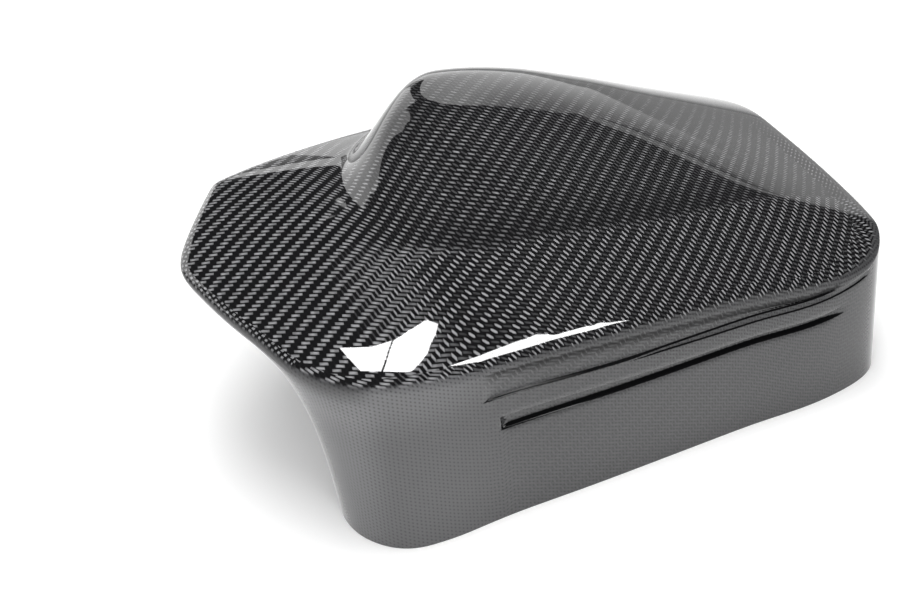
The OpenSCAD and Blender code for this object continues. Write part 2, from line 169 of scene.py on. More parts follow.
# How the gutter falls and narrows inboard, and how the step falls: by how much, and over what length
GUTTER_FALL = (1.1, 80)
GUTTER_NARROWS = (2.4, 110)
STEP_FALL = (3.4, 80)
# How the step and the gutter run in and out, and how much of the step is left at the lip
RUN_IN = 4.5
RUN_OUT = 10
STEP_FADE = 0.3
STEP_AT_LIP = 0.3
# The step's second line: where it parts, its share of the step, and how far it gets from the first
SPLIT_RUN = (100, 20)
SPLIT_SHARE = 0.45
SPLIT_GAP = 0.9
SPLIT_SPREAD = 1.6
SPLIT_SPREAD_RUN = (100, 60)

# Levels of the wall between its features, and steps across each ledge and over the lip's rounding
LOW_LEVELS = 12
LEDGE_STEPS = (0.12, 0.5, 0.88, 1)
GUTTER_LEVELS = 3
BAND_LEVELS = 3
UPPER_LEVELS = 3
LIP_STEPS = 8
CORNER_PASSES = 24


def rows_at(table, places):
    """Rows of a table at places between its own rows, on a smooth curve through them."""
    rows = np.array(table, float)
    known = rows[:, 0]
    slopes = np.gradient(rows, known, axis=0)
    at = np.clip(np.asarray(places, float), known[0], known[-1])
    i = np.clip(np.searchsorted(known, at, side="right") - 1, 0, len(known) - 2)
    span = (known[i + 1] - known[i])[..., None]
    s = (at[..., None] - known[i][..., None]) / span
    return (
        (2 * s**3 - 3 * s**2 + 1) * rows[i]
        + (s**3 - 2 * s**2 + s) * span * slopes[i]
        + (3 * s**2 - 2 * s**3) * rows[i + 1]
        + (s**3 - s**2) * span * slopes[i + 1]
    )


def height_at(table, x):
    return rows_at(table, x)[..., 1]


def ease(value):
    s = np.clip(value, 0, 1)
    return s * s * (3 - 2 * s)


def ramp(value, run):
    """A smooth way from 0 to 1 over a run."""
    return ease((value - run[0]) / run[1])


def smooth_min(a, b, r):
    return (a + b - np.sqrt((a - b) ** 2 + r**2)) / 2


def lip_height(x):
    return LIP_Z + height_at(LIP_LINE, x)


def ear_height(x, y):
    fall = np.where(y < EAR_MID[1], EAR_FALL_NEAR, EAR_FALL_FAR)
    return EAR_Z - fall * (y - EAR_MID[1]) ** 2 - EAR_FALL_X * (x - EAR_MID[0]) ** 2


def bulge_height(x, y):
    """The face from the crease to the crest, and the roll from the crest down to the far lip."""
    crest = CREST_Z + height_at(CREST_LINE, x)
    across = height_at(CREST_Y, x)
    near_foot = LIP_Z + height_at(CREASE_LINE, x)
    near_share = np.clip(across - y, 0, None) / (across - CREASE_Y)
    near = crest - (crest - near_foot) * near_share**FACE_BOW
    far_foot = FAR_Z + height_at(FAR_LINE, x)
    share = FAR_ROLL * np.clip((y - across) / (BODY_W - across), 0, 1)
    whole_roll = 1 - math.sqrt(1 - FAR_ROLL**2)
    far = crest - (crest - far_foot) * (1 - np.sqrt(1 - share**2)) / whole_roll
    return np.where(y < across, near, far)


def climb(x, y):
    """How far the bulge has climbed out of the ear: 0 before its foot, an arc in plan, and 1 past the
    slope."""
    back = np.where(y < FOOT_Y, FOOT_BACK_NEAR, FOOT_BACK_FAR)
    foot = FOOT_X + back * np.clip(np.abs(y - FOOT_Y) / FOOT_HALF, 0, 1) ** 2
    return ease(1 - (1 - np.clip((x - foot) / CLIMB_L, 0, 1)) ** CLIMB_BOW)


def skin_height(x, y):
    ear = ear_height(x, y)
    over = bulge_height(x, y) - ear
    sink = np.where(y > height_at(CREST_Y, x), ramp(x, SINK_RUN), 0)
    body = ear + np.maximum(over, 0) * climb(x, y) + np.minimum(over, 0) * sink
    shelf = lip_height(x) + height_at(SHELF_SLOPE, x) * y
    return smooth_min(body, shelf, CREASE_R)


def on_skin(plan):
    """Points of the outer skin above points of the plan."""
    return np.stack([plan[..., 0], plan[..., 1], skin_height(plan[..., 0], plan[..., 1])], -1)


def row_share(column, row):
    """Share of the width at a row: one row of the drawing follows the crease."""
    crease = height_at(CREASE_RUN, column * BODY_L / COLUMNS - CREASE_SHIFT) / BODY_W
    low = crease * row / SHELF_ROWS
    high = crease + (1 - crease) * (row - SHELF_ROWS) / (ROWS - SHELF_ROWS)
    return np.where(row <= SHELF_ROWS, low, high)


def stations_at(places):
    """The outline's stations at places counted round it from the near lip's first one."""
    j = np.asarray(places, float)
    sides = [
        rows_at(NEAR_SIDE, j),
        rows_at(RIGHT_SIDE, row_share(COLUMNS, j - COLUMNS)),
        rows_at(FAR_SIDE, 2 * COLUMNS + ROWS - j),
        rows_at(LEFT_SIDE, row_share(0, PERIMETER - j)),
    ]
    side = np.searchsorted([COLUMNS, COLUMNS + ROWS, 2 * COLUMNS + ROWS], j, side="right")
    return np.choose(side[:, None], sides)


def neighbours_along(points):
    return np.roll(points, -1, 0) - np.roll(points, 1, 0)


def rounded(rows, passes):
    """Rows round the outline with their corners rounded, as the CAD's coarser outline has them."""
    for _ in range(passes):
        rows = (np.roll(rows, -1, 0) + 2 * rows + np.roll(rows, 1, 0)) / 4
    return rows


def unit(v):
    return v / np.linalg.norm(v, axis=-1, keepdims=True)


class Outline:
    """The lip and the wall below it, at one place for each mesh edge round the cover."""

    def __init__(self):
        self.place = np.arange(PERIMETER * FINE) / FINE
        s = rounded(stations_at(self.place), CORNER_PASSES)
        self.lip = on_skin(s[:, 1:3])
        self.rim = s[:, 3:5]
        self.edge = s[:, 5]
        self.bow = s[:, 6]
        along = unit(neighbours_along(self.lip))
        self.inward = unit(np.stack([-along[:, 1], along[:, 0], 0 * along[:, 0]], -1))
        self.x = self.lip[:, 0]
        self.high = lip_height(self.x)
        near = (self.place > 0) & (self.place < COLUMNS - 2)
        self.gutter_in = np.where(near, GUTTER_D * self.run_in(GUTTER_X), 0)
        self.step_in = np.where(near, STEP_D * self.run_in(STEP_X), 0)
        self.split_in = np.where(near, SPLIT_SHARE * STEP_D * ramp(self.x, SPLIT_RUN), 0)

    def run_in(self, start):
        """How deep the step or the gutter is along its length, with a rounded start and end."""
        into = np.clip((self.x - start) / RUN_IN, 0, 1)
        out = np.clip((GUTTER_END - self.x) / RUN_OUT, 0, 1)
        return np.sqrt(into) * np.sqrt(out)

    def wall_point(self, share, depth):
        """Points of the wall at a share of the lip's height, moved in by a depth."""
        up = np.minimum(share / (1 - SKIRT_SHARE * np.clip(self.bow / FULL_BOW, 0, 1)), 1)
        sweep = (1 - self.bow) * up + self.bow * up**3
        plan = self.rim + (self.lip[:, :2] - self.rim) * sweep[:, None]
        plain = np.concatenate([plan, (self.lip[:, 2] * share)[:, None]], 1)
        return plain + depth[:, None] * self.inward

    def inside_lip(self, distance):
        return on_skin((self.lip + distance[:, None] * self.inward)[:, :2])

    def wall_levels(self, laminate):
        """Shares of the lip's height from the rim up, each with how far the wall stands in there."""
        x, none = self.x, 0 * self.x
        gutter_z = GUTTER_Z - GUTTER_FALL[0] * ramp(x, (GUTTER_X, GUTTER_FALL[1]))
        gutter_h = GUTTER_H - GUTTER_NARROWS[0] * ramp(x, (GUTTER_X, GUTTER_NARROWS[1]))
        step_z = STEP_Z - STEP_FALL[0] * ramp(x, (STEP_X, STEP_FALL[1]))
        low = gutter_z / self.high - laminate
        high = low + laminate + gutter_h / self.high + laminate
        step = step_z / self.high - laminate
        split = step - (SPLIT_GAP + SPLIT_SPREAD * ramp(x, SPLIT_SPREAD_RUN)) / self.high
        top = np.maximum(1 - self.edge / self.lip[:, 2], step + laminate + LEDGE)
        levels = [(low * k / LOW_LEVELS, none) for k in range(LOW_LEVELS + 1)]

        def ledge(start, length, before, after):
            for t in LEDGE_STEPS:
                levels.append((start + length * t, before + (after - before) * ease(t)))

        def plain(to, steps, depth):
            start = levels[-1][0]
            for k in range(1, steps + 1):
                levels.append((start + (to - start) * k / steps, depth))

        ledge(low, LEDGE, none, self.gutter_in)
        plain(high - LEDGE, GUTTER_LEVELS, self.gutter_in)
        ledge(high - LEDGE, LEDGE, self.gutter_in, none)
        plain(split - LEDGE / 2, BAND_LEVELS, none)
        ledge(split - LEDGE / 2, LEDGE / 2, none, self.split_in)
        plain(step - LEDGE / 2, 1, self.split_in)
        ledge(step - LEDGE / 2, LEDGE / 2, self.split_in, self.step_in)
        start = levels[-1][0]
        for k in range(1, UPPER_LEVELS + 1):
            t = k / UPPER_LEVELS
            levels.append((start + (top - start) * t, self.step_in * (1 - STEP_FADE * t)))
        return levels

    def over_lip(self, below, corner):
        """Rings over the rounding of the lip, from the top of the wall to the top of the cover."""
        inside = self.inside_lip(self.edge)
        steps = [k / LIP_STEPS for k in range(1, LIP_STEPS + 1)]
        return [(1 - t) ** 2 * below + 2 * t * (1 - t) * corner + t**2 * inside for t in steps]

    def outer_rings(self):
        """Rings of the outer skin, from the rim up and over the lip."""
        wall = [self.wall_point(share, depth) for share, depth in self.wall_levels(0)]
        corner = self.lip + STEP_AT_LIP * self.step_in[:, None] * self.inward
        return np.array(wall + self.over_lip(wall[-1], corner))

    def inner_rings(self):
        """Rings of the plain wall that the inner skin is moved in from, and how far each point goes in."""
        levels = self.wall_levels(WALL / self.lip[:, 2])
        wall = [self.wall_point(share, 0 * depth) for share, depth in levels]
        depths = [depth for _, depth in levels] + [0 * self.x] * LIP_STEPS
        return np.array(wall + self.over_lip(wall[-1], self.lip)), np.array(depths)


def top_patch(edge):
    """Points of the top, spun between the four sides of the innermost ring: [column][row]."""
    c, r = COLUMNS * FINE, ROWS * FINE
    near, right = edge[: c + 1], edge[c : c + r + 1]
    far, left = edge[c + r : 2 * c + r + 1][::-1], edge[-np.arange(r + 1)]
    u = (np.arange(c + 1) / c)[:, None, None]
    column, row = np.arange(c + 1) / FINE, np.arange(r + 1) / FINE
    v = row_share(column[:, None], row[None, :])[..., None]
    across = (1 - v) * near[:, None] + v * far[:, None]
    along = (1 - u) * left[None] + u * right[None]
    low = (1 - u) * near[0] + u * near[-1]
    high = (1 - u) * far[0] + u * far[-1]
    points = on_skin((across + along - (1 - v) * low - v * high)[..., :2])
    points[:, 0], points[:, -1], points[0], points[-1] = near, far, left, right
    return points


# The cloth: centre to centre of its tows on the mould, and how it lies on the body and on the ear
TOW = 1.8
BODY_WEFT_FALL = 0.306
EAR_WEFT_TURN = math.radians(-28)
EAR_WARP_TURN = math.radians(68)
EAR_TOW_ALONG = 1.53
EAR_TOW_ACROSS = 2.2
# The cloth is pulled open across the weft towards the ear's near edge, and closed up along it inboard
EDGE_PULL = 0.0033
EDGE_PULL_Y = 60
INBOARD_PUSH = 1 / 350
INBOARD_PUSH_X = 60
# The ear's cloth turns into the body's over this run, and the two agree at the pivot
CLOTH_RUN = (0, 75)
CLOTH_PIVOT = (35, 50)
# The column at which the wall's cloth agrees with the top's
CLOTH_COLUMN = 20

# How much light is painted on the tows, as painted highlight and painted shade. The runs are starts and lengths
# in millimetres
EAR_RUN = (5, 30)
SHELF_RUN = (-5, 45)
CREASE_SOFT = (3, 30)
CREASE_SOFT_RUN = (5, 50)
BOTH_RUN = (40, 30)
BOTH_WEFT = 0.1
BOTH_WARP = 0.4
FACE_RUN = (30, 25)
FACE_FOOT_RUN = (0, 22)
CREST_RUN = (-32, 20)
CREST_RUN_X = (25, 20)
NEAR_LIP_RUN_X = (10, 25)
NEAR_LIP_RUN_Y = (10, 35)
# The least that a tow shows where no light is painted on it: on the ear, more on the body, more on the face
LEAST = (0.01, 0.14, 0.15)
LEAST_RUN = (5, 60)
# The level of painted light on the ear, and what each part of the top adds to it
EAR_LEVEL = 0.82
SHELF_ADDS = 0.38
FACE_ADDS = -0.1
CREST_ADDS = -0.35
FACE_FOOT_ADDS = -0.35
NEAR_LIP_ADDS = 0.2
# The same for the wall, where the ear's runs are counted outboard
WALL_RUN = (10, 60)
UNDER_EAR_RUN = (4, 14)
UNDER_EAR_RUN_Z = (66, 8)
EAR_EDGE_RUN = (8, 10)
EAR_EDGE_RUN_Z = (72, 6)
UNDER_LIP_RUN_Z = (50, 22)
# The wall's painted light: its level, less inboard, more under the lip and the ear, and a painted shade along
# the ear's edge
WALL_LEVEL = 0.45
INBOARD_ADDS = -0.13
UNDER_LIP_ADDS = 0.28
UNDER_EAR_ADDS = 0.24
EAR_EDGE_ADDS = -0.45
# How evenly the painted light lies on a tow: 0 on the body, 1 on the ear and 2 on the wall, a little less
# inboard
WALL_EVEN = 2
WALL_UNEVEN = 0.15
# How steep a turn of the wall counts as a ledge, and how far down the lip's rounding the top's painted light
# reaches
LEDGE_TURN = 1.5
LEAST_RISE = 1e-6
LIP_PAINTED_LIGHT = (2.75, 5)


def body_cloth(x, along):
    """Cloth coordinates on the body: the warp runs straight across, and the weft falls away inboard."""
    pushed = x + INBOARD_PUSH * np.clip(x - INBOARD_PUSH_X, 0, None) ** 2 / 2
    return np.stack([pushed, along + BODY_WEFT_FALL * x], -1)


def ear_cloth(x, y):
    """Cloth coordinates on the ear, where the cloth is pulled out over the tip."""
    warp = (math.cos(EAR_WARP_TURN), math.sin(EAR_WARP_TURN))
    weft = (math.cos(EAR_WEFT_TURN), math.sin(EAR_WEFT_TURN))
    skew = weft[0] * warp[1] - weft[1] * warp[0]
    y = y + EDGE_PULL * np.clip(EDGE_PULL_Y - y, 0, None) ** 2 / 2
    u = (x * warp[1] - y * warp[0]) / (EAR_TOW_ALONG * skew)
    v = (y * weft[0] - x * weft[1]) / (EAR_TOW_ACROSS * skew)
    return np.stack([u, v], -1) * TOW


def top_cloth(points):
    """Cloth coordinates of the top in millimetres of cloth."""
    x, y = points[..., 0], points[..., 1]
    steps = np.linalg.norm(np.diff(points, axis=1), axis=-1)
    run = np.concatenate([0 * x[:, :1], np.cumsum(steps, 1)], 1)
    body = body_cloth(x, NEAR_EDGE + run + (y[:, :1] - NEAR_EDGE))
    pivot = np.array(CLOTH_PIVOT)
    offset = body_cloth(pivot[0], pivot[1]) - ear_cloth(*CLOTH_PIVOT)
    share = ramp(x, CLOTH_RUN)[..., None]
    return share * body + (1 - share) * (ear_cloth(x, y) + offset)


def painted_top_light(points):
    """How much light is painted on the tows of the top: the share of the weft, that of the warp, and how evenly
    it lies.

    It is set after the photograph. The weft is painted lit on the ear and the bulge, the warp on the shelf, and
    both where the shelf runs out."""
    x, y = points[..., 0], points[..., 1]
    crease = height_at(CREASE_RUN, x)
    crest = height_at(CREST_Y, x)
    soft = CREASE_SOFT[0] + CREASE_SOFT[1] * (1 - ramp(x, CREASE_SOFT_RUN))
    on_shelf = (1 - ease((y - crease) / soft + 0.5)) * ramp(x, SHELF_RUN)
    both = 4 * on_shelf * (1 - on_shelf) * (1 - ramp(x, BOTH_RUN))
    on_ear = 1 - ramp(x, EAR_RUN)
    on_crest = ramp(y - crest, CREST_RUN) * ramp(x, CREST_RUN_X)
    on_face = (1 - on_shelf) * ramp(x, FACE_RUN)
    on_foot = on_face * (1 - ramp(y - crease, FACE_FOOT_RUN))
    near_lip = (1 - ramp(x, NEAR_LIP_RUN_X)) * (1 - ramp(y, NEAR_LIP_RUN_Y))
    share = np.stack([1 - on_shelf + BOTH_WEFT * both, on_shelf + BOTH_WARP * both], -1)
    least = (LEAST[0] + (LEAST[1] + LEAST[2] * on_face) * ramp(x, LEAST_RUN))[..., None]
    # Painted highlight on the shelf and near the lip, painted shade on the face, on the crest and at the face's
    # foot above the crease
    level = (
        EAR_LEVEL
        + SHELF_ADDS * on_shelf
        + FACE_ADDS * on_face
        + CREST_ADDS * on_crest
        + FACE_FOOT_ADDS * on_foot
        + NEAR_LIP_ADDS * near_lip
    )
    share = (least + (1 - least) * np.clip(share, 0, 1)) * level[..., None]
    return np.concatenate([share, np.maximum(on_ear, both)[..., None]], -1)


def painted_wall_light(points):
    """The painted light for the wall: even, a little brighter under the lip and the ear, less of it inboard,
    and a painted shade along the ear's edge.
    """
    x, z = points[..., 0], points[..., 2]
    inboard = ramp(x, WALL_RUN)
    under_ear = ramp(-x, UNDER_EAR_RUN) * (1 - ramp(z, UNDER_EAR_RUN_Z))
    ear_edge = ramp(-x, EAR_EDGE_RUN) * ramp(z, EAR_EDGE_RUN_Z)
    under_lip = ramp(z, UNDER_LIP_RUN_Z) * (1 - inboard)
    level = (
        WALL_LEVEL
        + INBOARD_ADDS * inboard
        + UNDER_LIP_ADDS * under_lip
        + UNDER_EAR_ADDS * under_ear
        + EAR_EDGE_ADDS * ear_edge
    )
    return np.stack([level, level, WALL_EVEN - WALL_UNEVEN * inboard], -1)


def ledge_share(depths, heights):
    """Where the wall turns in or out: 1 on a ledge and 0 on the plain wall, for each ring and place."""
    rise = np.abs(np.gradient(heights, axis=0)) + LEAST_RISE
    return np.clip(LEDGE_TURN * (np.abs(np.gradient(depths, axis=0)) / rise), 0, 1)


def rolled(values):
    """The outermost values of the top in the order of the places round the outline."""
    return np.concatenate([values[:-1, 0], values[-1, :-1], values[:0:-1, -1], values[0, :0:-1]])


def wall_cloth(rings, x):
    """Cloth coordinates of the wall, and of the rounding above it, in millimetres of cloth."""
    down = np.linalg.norm(np.diff(rings, axis=0), axis=-1)
    fall = np.concatenate([np.cumsum(down[::-1], 0)[::-1], 0 * down[:1]], 0)
    lip = rings[-LIP_STEPS // 2]
    step = np.linalg.norm(np.roll(lip, -1, 0) - lip, axis=-1)
    run = np.concatenate([[0], np.cumsum(step)])
    run += x[CLOTH_COLUMN * FINE] - run[CLOTH_COLUMN * FINE]
    along = NEAR_EDGE - fall
    closed = np.concatenate([along, along[:, :1]], 1)
    return body_cloth(np.broadcast_to(run, closed.shape), closed)


def build_shell():
    """The shell as one closed mesh: a grid for the top, whose edge is extruded down the wall, the same again
    inside, and a bridge between the two rims."""
    outline = Outline()
    outer = outline.outer_rings()
    plain, depths = outline.inner_rings()
    patch = top_patch(outer[-1])
    last = len(outer) - 1
    c, r = COLUMNS * FINE, ROWS * FINE

    bm = bmesh.new()
    column, row = bm.verts.layers.int.new("column"), bm.verts.layers.int.new("row")
    place, ring = bm.verts.layers.int.new("place"), bm.verts.layers.int.new("ring")
    bmesh.ops.create_grid(bm, x_segments=c, y_segments=r, size=0.5)
    for v in bm.verts:
        i, k = round((v.co.x + 0.5) * c), round((v.co.y + 0.5) * r)
        v[column], v[row], v[ring] = i, k, last
        if k == 0:
            v[place] = i
        elif i == c:
            v[place] = c + k
        elif k == r:
            v[place] = 2 * c + r - i
        else:
            v[place] = -k % (2 * c + 2 * r)
    edges = [e for e in bm.edges if e.is_boundary]
    for level in reversed(range(last)):
        made = bmesh.ops.extrude_edge_only(bm, edges=edges)["geom"]
        edges = [g for g in made if isinstance(g, bmesh.types.BMEdge) and g.is_boundary]
        for e in edges:
            for v in e.verts:
                v[ring], v[column] = level, -1
    bmesh.ops.recalc_face_normals(bm, faces=bm.faces)

    # The layer of light painted on the tows: on the weft, on the warp, and how evenly it lies
    painted_tow_light = bm.verts.layers.float_vector.new("painted_tow_light")
    light = painted_top_light(patch)
    rolled_painted_light = rolled(light)
    # The ledges get no painted light: a painted shade keeps them black
    painted_light_on_wall = painted_wall_light(outer) * (1 - ledge_share(depths, outer[..., 2]))[..., None]
    for v in bm.verts:
        if v[column] >= 0:
            v[painted_tow_light] = light[v[column], v[row]]
        else:
            share = min(max(LIP_PAINTED_LIGHT[0] - LIP_PAINTED_LIGHT[1] * (last - v[ring]) / LIP_STEPS, 0), 1)
            v[painted_tow_light] = share * rolled_painted_light[v[place]] + (1 - share) * painted_light_on_wall[v[ring], v[place]]

    cloth = bm.loops.layers.uv.new("cloth")
    on_top, on_wall = top_cloth(patch), wall_cloth(outer, outline.x)
    for face in bm.faces:
        low = min(v[ring] for v in face.verts)
        places = [v[place] for v in face.verts]
        wraps = max(places) - min(places) > c
        for loop in face.loops:
            v = loop.vert
            if low == last:
                loop[cloth].uv = on_top[v[column], v[row]] * MM
            else:
                j = v[place] + (len(outline.x) if wraps and v[place] == 0 else 0)
                loop[cloth].uv = on_wall[v[ring], j] * MM

    outside = bm.verts[:] + bm.edges[:] + bm.faces[:]
    outside_verts = bm.verts[:]
    copy = bmesh.ops.duplicate(bm, geom=outside)["geom"]
    inside_verts = [g for g in copy if isinstance(g, bmesh.types.BMVert)]
    inside_faces = [g for g in copy if isinstance(g, bmesh.types.BMFace)]
    for v in outside_verts:
        v.co = patch[v[column], v[row]] if v[column] >= 0 else outer[v[ring], v[place]]
    for v in inside_verts:
        v.co = patch[v[column], v[row]] if v[column] >= 0 else plain[v[ring], v[place]]
    bm.normal_update()
    moved = []
    for v in inside_verts:
        normal = v.normal.copy()
        if v[ring] == 0:
            normal.z = 0
            normal.normalize()
        shift = -WALL * normal
        if v[column] < 0:
            shift += Vector(depths[v[ring], v[place]] * outline.inward[v[place]])
        moved.append(v.co + shift)
    for v, co in zip(inside_verts, moved):
        v.co = co
    bmesh.ops.reverse_faces(bm, faces=inside_faces)
    rims = [e for e in bm.edges if e.is_boundary]
    bmesh.ops.bridge_loops(bm, edges=rims)
    for face in bm.faces:
        face.smooth = True
    for e in rims:
        e.smooth = False
    for face in inside_faces:
        face.material_index = 1
    bmesh.ops.translate(bm, vec=(-CENTRE_X, -CENTRE_Y, 0), verts=bm.verts)
    bmesh.ops.scale(bm, vec=(MM, MM, MM), verts=bm.verts)
    mesh = bpy.data.meshes.new("carbon_shell")
    bm.to_mesh(mesh)
    bm.free()
    return link(bpy.data.objects.new("carbon_shell", mesh))


def srgb(code):
    """Linear colour of an sRGB hex value."""
    parts = [int(code[k : k + 2], 16) / 255 for k in (1, 3, 5)]
    return [p / 12.92 if p <= 0.04045 else ((p + 0.055) / 1.055) ** 2.4 for p in parts] + [1]


def add(tree, kind, inputs=None, **settings):
    """A node with its settings; inputs are numbers, colours or outputs of other nodes."""
    node = tree.nodes.new(kind)
    for name, value in settings.items():
        setattr(node, name, value)
    for socket, value in (inputs or {}).items():
        if isinstance(value, bpy.types.NodeSocket):
            tree.links.new(value, node.inputs[socket])
        else:
            node.inputs[socket].default_value = value
    return node.outputs


def new_material(name):
    material = bpy.data.materials.new(name)
    material.use_nodes = True
    material.node_tree.nodes.clear()
    return material, material.node_tree


def maths(tree, operation, *values):
    """The result of an operation on up to three values."""
    return add(tree, "ShaderNodeMath", dict(enumerate(values)), operation=operation)[0]


def either(tree, share, first, second):
    """The first value where the share is 0, and the second where it is 1."""
    return add(tree, "ShaderNodeMix", {0: share, 2: first, 3: second}, data_type="FLOAT")[0]


def spread(tree, value, start, end, to_start, to_end, **settings):
    """A value between start and end, spread out between two others."""
    ends = {0: value, 1: start, 2: end, 3: to_start, 4: to_end}
    return add(tree, "ShaderNodeMapRange", ends, **settings)[0]


# How the floats run and how the painted highlight lies on them, in tows: first on the body and then on the ear,
# where there are two values
FLOAT_MORE = (0.0, 0.12)
WEFT_SKEW = (0.7, -0.2)
WARP_SKEW = 1.5
WEFT_WIDTH = 0.55
WARP_WIDTH = 0.75
FLOAT_REACH = (0.7, 2.4)
# Noise between these two values is spread to the tones of single fibres and of single floats
NOISE = (0.3, 0.7)
FIBRES = 9
FIBRE_STRETCH = 0.5
FIBRE_TONE = (0.7, 1.2)
FLOAT_NOISE = 0.8
FLOAT_TONE = (0.7, 1.3)
# How far the sides of a tow and the ends of a float fall, as shares, and the weave's depth in millimetres
SIDES_FALL = -0.35
ENDS_FALL = -0.5
WEAVE_DEPTH = 0.12
# The even wall's painted tone, which stands in for its reflection of the white table, and how much of it the
# dots take
WALL_PAINTED_TONE = 0.67
DOTS_TAKE = -0.65
# The tows' own dark colour, and their colour where light is painted on them
TOW_DARK = "#121213"
TOW_PAINTED_LIT = "#8a8a8c"
# The share of the coat where no painted light lies, and the painted light from which the coat is whole
THIN_COAT = 0.15
WHOLE_COAT_AT = 0.3


def twill_carbon(name, coat, coat_roughness):
    """3K carbon cloth in a 2 by 2 twill, laid in a mould with clear resin and coated.

    The mesh's layer of painted light says how much light is painted on the weft and the warp at each place, and
    the material spreads it over their floats as a painted highlight, and evenly on the wall."""
    material, tree = new_material(name)
    uv = add(tree, "ShaderNodeUVMap", uv_map="cloth")[0]
    tows = add(tree, "ShaderNodeMapping", {"Vector": uv, "Scale": (1 / (TOW * MM), 1 / (TOW * MM), 1)})[0]
    split = add(tree, "ShaderNodeSeparateXYZ", {0: tows})
    u, v = split[0], split[1]
    iu, iv = maths(tree, "FLOOR", u), maths(tree, "FLOOR", v)
    fu, fv = maths(tree, "FRACT", u), maths(tree, "FRACT", v)
    phase = maths(tree, "FLOORED_MODULO", maths(tree, "SUBTRACT", iu, iv), 4)
    layer = add(tree, "ShaderNodeAttribute", attribute_name="painted_tow_light")["Vector"]
    lights = add(tree, "ShaderNodeSeparateXYZ", {0: layer})
    painted_weft_light, painted_warp_light, evenness = lights[0], lights[1], lights[2]
    # A float of the weft covers two tows of the warp, and on the ear a little more
    more = spread(tree, evenness, 0.0, 1.0, *FLOAT_MORE)
    run_on = maths(tree, "ADD", maths(tree, "SUBTRACT", u, iv), more)
    run_on = maths(tree, "FLOORED_MODULO", run_on, 4)
    weft_end = maths(tree, "MULTIPLY_ADD", more, 2, 2)
    weft_on = maths(tree, "LESS_THAN", run_on, weft_end)
    weft_run = maths(tree, "SUBTRACT", run_on, more)
    warp_run = maths(tree, "ADD", maths(tree, "SUBTRACT", 3, phase), fv)
    run = either(tree, weft_on, warp_run, weft_run)
    side = either(tree, weft_on, fu, fv)
    # From the middle of a float to its ends, and from the middle of a tow to its edges, and both squared
    along = maths(tree, "SUBTRACT", run, 1)
    along2 = maths(tree, "MULTIPLY", along, along)
    across = maths(tree, "MULTIPLY_ADD", side, 2, -1)
    across2 = maths(tree, "MULTIPLY", across, across)
    sides_fall = maths(tree, "MULTIPLY_ADD", across2, SIDES_FALL, 1)
    height = maths(tree, "MULTIPLY_ADD", along2, ENDS_FALL, sides_fall)
    # Single fibres, drawn about 0.2 mm apart so that they show
    weft_grain = add(tree, "ShaderNodeMapping", {"Vector": tows, "Scale": (FIBRE_STRETCH, FIBRES, 1)})[0]
    warp_grain = add(tree, "ShaderNodeMapping", {"Vector": tows, "Scale": (FIBRES, FIBRE_STRETCH, 1)})[0]
    grain_at = add(tree, "ShaderNodeMix", {0: weft_on, 4: warp_grain, 5: weft_grain}, data_type="VECTOR")[1]
    grain = add(tree, "ShaderNodeTexNoise", {"Vector": grain_at, "Scale": 1.0, "Detail": 1.0})[0]
    # The painted highlight lies askew on a float of the warp. On one of the weft it does less, and the other
    # way on the ear
    skew = either(tree, weft_on, WARP_SKEW, spread(tree, evenness, 0.0, 1.0, *WEFT_SKEW))
    aside = maths(tree, "MULTIPLY_ADD", along, skew, across)
    aside2 = maths(tree, "MULTIPLY", aside, aside)
    width = either(tree, weft_on, WARP_WIDTH, WEFT_WIDTH)
    crest = spread(tree, aside2, 0.0, width, 1.0, 0.0, interpolation_type="SMOOTHSTEP")
    # The painted highlight fills the length of a float on the ear and only its middle elsewhere
    reach = spread(tree, evenness, 0.0, 1.0, *FLOAT_REACH)
    ends = spread(tree, along2, 0.0, reach, 1.0, 0.0, interpolation_type="SMOOTHSTEP")
    # The painted highlight on each float, broken up by single fibres
    tone = maths(tree, "MULTIPLY", crest, ends)
    tone = maths(tree, "MULTIPLY", tone, spread(tree, grain, *NOISE, *FIBRE_TONE))
    # Some floats are brighter than their neighbours
    lie = add(tree, "ShaderNodeTexNoise", {"Vector": tows, "Scale": FLOAT_NOISE, "Detail": 0.0})[0]
    tone = maths(tree, "MULTIPLY", tone, spread(tree, lie, *NOISE, *FLOAT_TONE))
    # On the wall's even painted tone only the corners between the tows stay dark, as fine dots
    across_u = maths(tree, "MULTIPLY_ADD", fu, 2, -1)
    across_v = maths(tree, "MULTIPLY_ADD", fv, 2, -1)
    corner = maths(tree, "MULTIPLY", across_u, across_v)
    corner2 = maths(tree, "MULTIPLY", corner, corner)
    dotted = maths(tree, "MULTIPLY_ADD", corner2, DOTS_TAKE, WALL_PAINTED_TONE)
    level = either(tree, spread(tree, evenness, 1.0, 2.0, 0.0, 1.0), tone, dotted)
    # The painted light of the weft or the warp sets how light the colour is
    painted_lit = maths(tree, "MULTIPLY", either(tree, weft_on, painted_warp_light, painted_weft_light), level)
    colour = add(tree, "ShaderNodeMix", {0: painted_lit, 6: srgb(TOW_DARK), 7: srgb(TOW_PAINTED_LIT)}, data_type="RGBA")[2]
    bump = add(tree, "ShaderNodeBump", {"Strength": 1.0, "Distance": WEAVE_DEPTH * MM, "Height": height})[0]
    # The coat is thinned where no painted light lies, on the ledges of the step and the gutter, which keeps
    # them dark
    most = maths(tree, "MAXIMUM", painted_weft_light, painted_warp_light)
    coated = spread(tree, most, 0.0, WHOLE_COAT_AT, THIN_COAT * coat, coat)
    shader = add(
        tree,
        "ShaderNodeBsdfPrincipled",
        {
            "Base Color": colour,
            "Roughness": 0.5,
            "Specular IOR Level": 0.0,
            "Normal": bump,
            "Coat Weight": coated,
            "Coat Roughness": coat_roughness,
            "Coat IOR": 1.5,
        },
    )[0]
    add(tree, "ShaderNodeOutputMaterial", {0: shader})
    return material


